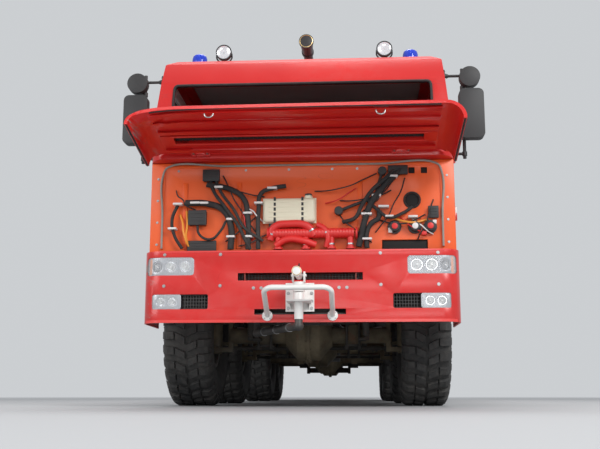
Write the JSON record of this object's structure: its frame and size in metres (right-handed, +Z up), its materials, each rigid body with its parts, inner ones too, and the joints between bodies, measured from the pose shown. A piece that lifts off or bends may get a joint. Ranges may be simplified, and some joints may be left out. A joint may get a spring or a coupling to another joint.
{
  "type": "airport fire truck",
  "caption": "Red airport fire truck on driven axles, with a crew cab, a raised front panel, roof and bumper monitors and a rear body with roller shutters.",
  "frame": {"origin": "on the ground below the middle of the truck's box, its front panel raised", "axes": "+Z up, -Y towards the front bumper, +X towards the truck's left side"},
  "size_m": [2.98, 11.0074, 3.37],
  "materials": {
    "frame_paint": "dull dark red paint with road dirt",
    "axle_iron": "olive brown paint, oily and dusty",
    "spring_steel": "black paint with road dirt",
    "engine_iron": "grey cast iron, oily",
    "black_metal": "satin black paint",
    "locker_paint": "dark grey paint",
    "red_paint": "fire red enamel with light scratches",
    "orange_paint": "orange factory paint, dusty",
    "hose_rubber": "matt black rubber",
    "dash_plastic": "grained dark plastic",
    "seat_fabric": "dark woven cloth",
    "lamp_lens": "clear lens over a bright reflector",
    "mirror_plastic": "black moulded plastic",
    "beacon_blue": "clear blue lens",
    "white_paint": "white enamel",
    "shutter_metal": "anodised slats",
    "pump_paint": "painted castings",
    "window_glass": "clear safety glass",
    "monitor_paint": "black satin paint",
    "tyre": "worn black rubber, dusty",
    "rim_paint": "dark grey wheel paint"
  },
  "bodies": {
    "chassis": {"frame_rails": "frame_paint", "axle_housings": "axle_iron", "leaf_springs": "spring_steel", "engine_block": "engine_iron", "driveline": "engine_iron", "radiator_guard": "black_metal", "side_lockers": "locker_paint", "intake_mast": "black_metal", "cab_shell": "red_paint", "cab_front_wall": "orange_paint", "wall_fittings": "hose_rubber", "dashboard": "dash_plastic", "seats": "seat_fabric", "bumper": "red_paint", "headlamps": "lamp_lens", "mirrors": "mirror_plastic", "roof_lamps": "beacon_blue", "bumper_guard": "white_paint", "cab_steps": "black_metal", "rear_body": "red_paint", "shutters": "shutter_metal", "roof_fittings": "black_metal", "rear_bumper": "black_metal", "pump_unit": "pump_paint"},
    "hood": {"hood_panel": "red_paint"},
    "rear_door": {"rear_door": "red_paint"},
    "roof_monitor": {"monitor_turret": "monitor_paint"},
    "roof_barrel": {"monitor_barrel": "monitor_paint"},
    "bumper_monitor": {"bumper_turret": "white_paint"},
    "bumper_nozzle": {"bumper_nozzle": "white_paint"},
    "tie_rod_1": {"tie_rod_1": "spring_steel"},
    "tie_rod_2": {"tie_rod_2": "spring_steel"},
    "front_door_left": {"door_front_left": "white_paint", "glass_front_left": "window_glass"},
    "crew_door_left": {"door_crew_left": "red_paint", "glass_crew_left": "window_glass"},
    "steer_1_left": {"knuckle_1_left": "axle_iron"},
    "steer_2_left": {"knuckle_2_left": "axle_iron"},
    "wheel_1_left": {"tyre_1_left": "tyre", "rim_1_left": "rim_paint"},
    "wheel_2_left": {"tyre_2_left": "tyre", "rim_2_left": "rim_paint"},
    "wheel_3_left": {"tyre_3_left": "tyre", "rim_3_left": "rim_paint"},
    "wheel_4_left": {"tyre_4_left": "tyre", "rim_4_left": "rim_paint"},
    "front_door_right": {"door_front_right": "white_paint", "glass_front_right": "window_glass"},
    "crew_door_right": {"door_crew_right": "red_paint", "glass_crew_right": "window_glass"},
    "steer_1_right": {"knuckle_1_right": "axle_iron"},
    "steer_2_right": {"knuckle_2_right": "axle_iron"},
    "wheel_1_right": {"tyre_1_right": "tyre", "rim_1_right": "rim_paint"},
    "wheel_2_right": {"tyre_2_right": "tyre", "rim_2_right": "rim_paint"},
    "wheel_3_right": {"tyre_3_right": "tyre", "rim_3_right": "rim_paint"},
    "wheel_4_right": {"tyre_4_right": "tyre", "rim_4_right": "rim_paint"}
  },
  "joints": [
    {"name": "steer_1_left", "type": "hinge", "parent": "chassis", "child": "steer_1_left", "pos_m": [0.86, -3.3863, 0.63], "axis": [0, 0, 1], "range_deg": [-28, 28]},
    {"name": "steer_1_right", "type": "hinge", "parent": "chassis", "child": "steer_1_right", "pos_m": [-0.86, -3.3863, 0.63], "axis": [0, 0, 1], "range_deg": [-28, 28]},
    {"name": "steer_2_left", "type": "hinge", "parent": "chassis", "child": "steer_2_left", "pos_m": [0.86, -1.4463, 0.63], "axis": [0, 0, 1], "range_deg": [-19.6, 19.6]},
    {"name": "steer_2_right", "type": "hinge", "parent": "chassis", "child": "steer_2_right", "pos_m": [-0.86, -1.4463, 0.63], "axis": [0, 0, 1], "range_deg": [-19.6, 19.6]},
    {"name": "tie_rod_slide_1", "type": "slide", "parent": "chassis", "child": "tie_rod_1", "axis": [-1, 0, 0], "range_m": [-0.125, 0.125]},
    {"name": "tie_rod_slide_2", "type": "slide", "parent": "chassis", "child": "tie_rod_2", "axis": [-1, 0, 0], "range_m": [-0.0875, 0.0875]},
    {"name": "roll_1_left", "type": "hinge", "parent": "steer_1_left", "child": "wheel_1_left", "pos_m": [1.025, -3.3863, 0.63], "axis": [1, 0, 0], "continuous": true},
    {"name": "roll_1_right", "type": "hinge", "parent": "steer_1_right", "child": "wheel_1_right", "pos_m": [-1.025, -3.3863, 0.63], "axis": [1, 0, 0], "continuous": true},
    {"name": "roll_2_left", "type": "hinge", "parent": "steer_2_left", "child": "wheel_2_left", "pos_m": [1.025, -1.4463, 0.63], "axis": [1, 0, 0], "continuous": true},
    {"name": "roll_2_right", "type": "hinge", "parent": "steer_2_right", "child": "wheel_2_right", "pos_m": [-1.025, -1.4463, 0.63], "axis": [1, 0, 0], "continuous": true},
    {"name": "roll_3_left", "type": "hinge", "parent": "chassis", "child": "wheel_3_left", "pos_m": [1.025, 1.8537, 0.63], "axis": [1, 0, 0], "continuous": true},
    {"name": "roll_3_right", "type": "hinge", "parent": "chassis", "child": "wheel_3_right", "pos_m": [-1.025, 1.8537, 0.63], "axis": [1, 0, 0], "continuous": true},
    {"name": "roll_4_left", "type": "hinge", "parent": "chassis", "child": "wheel_4_left", "pos_m": [1.025, 3.2937, 0.63], "axis": [1, 0, 0], "continuous": true},
    {"name": "roll_4_right", "type": "hinge", "parent": "chassis", "child": "wheel_4_right", "pos_m": [-1.025, 3.2937, 0.63], "axis": [1, 0, 0], "continuous": true},
    {"name": "hood_close", "type": "hinge", "parent": "chassis", "child": "hood", "pos_m": [0, -4.7263, 1.985], "axis": [1, 0, 0], "range_deg": [0, 100]},
    {"name": "front_door_left_open", "type": "hinge", "parent": "chassis", "child": "front_door_left", "pos_m": [1.243, -4.4403, 1.5], "axis": [0, 0, -1], "range_deg": [0, 70]},
    {"name": "crew_door_left_open", "type": "hinge", "parent": "chassis", "child": "crew_door_left", "pos_m": [1.243, -2.8403, 1.5], "axis": [0, 0, -1], "range_deg": [0, 70]},
    {"name": "front_door_right_open", "type": "hinge", "parent": "chassis", "child": "front_door_right", "pos_m": [-1.243, -4.4403, 1.5], "axis": [0, 0, 1], "range_deg": [0, 70]},
    {"name": "crew_door_right_open", "type": "hinge", "parent": "chassis", "child": "crew_door_right", "pos_m": [-1.243, -2.8403, 1.5], "axis": [0, 0, 1], "range_deg": [0, 70]},
    {"name": "rear_door_lift", "type": "hinge", "parent": "chassis", "child": "rear_door", "pos_m": [0, 5.3977, 2.608], "axis": [1, 0, 0], "range_deg": [0, 95]},
    {"name": "roof_monitor_pan", "type": "hinge", "parent": "chassis", "child": "roof_monitor", "pos_m": [0, -2.7663, 3.15], "axis": [0, 0, 1], "range_deg": [-165, 165]},
    {"name": "roof_monitor_tilt", "type": "hinge", "parent": "roof_monitor", "child": "roof_barrel", "pos_m": [0, -2.7663, 3.3], "axis": [-1, 0, 0], "range_deg": [-12, 60]},
    {"name": "bumper_monitor_pan", "type": "hinge", "parent": "chassis", "child": "bumper_monitor", "pos_m": [0, -4.9163, 0.9], "axis": [0, 0, 1], "range_deg": [-45, 45]},
    {"name": "bumper_monitor_tilt", "type": "hinge", "parent": "bumper_monitor", "child": "bumper_nozzle", "pos_m": [0, -4.9163, 0.98], "axis": [-1, 0, 0], "range_deg": [-10, 60]}
  ],
  "couplings": [
    {"joint": "steer_1_right", "follows": "steer_1_left", "ratio": 1},
    {"joint": "steer_2_left", "follows": "steer_1_left", "ratio": 0.7},
    {"joint": "steer_2_right", "follows": "steer_1_left", "ratio": 0.7},
    {"joint": "tie_rod_slide_1", "follows": "steer_1_left", "m_per_rad": 0.25},
    {"joint": "tie_rod_slide_2", "follows": "steer_1_left", "m_per_rad": 0.175}
  ]
}
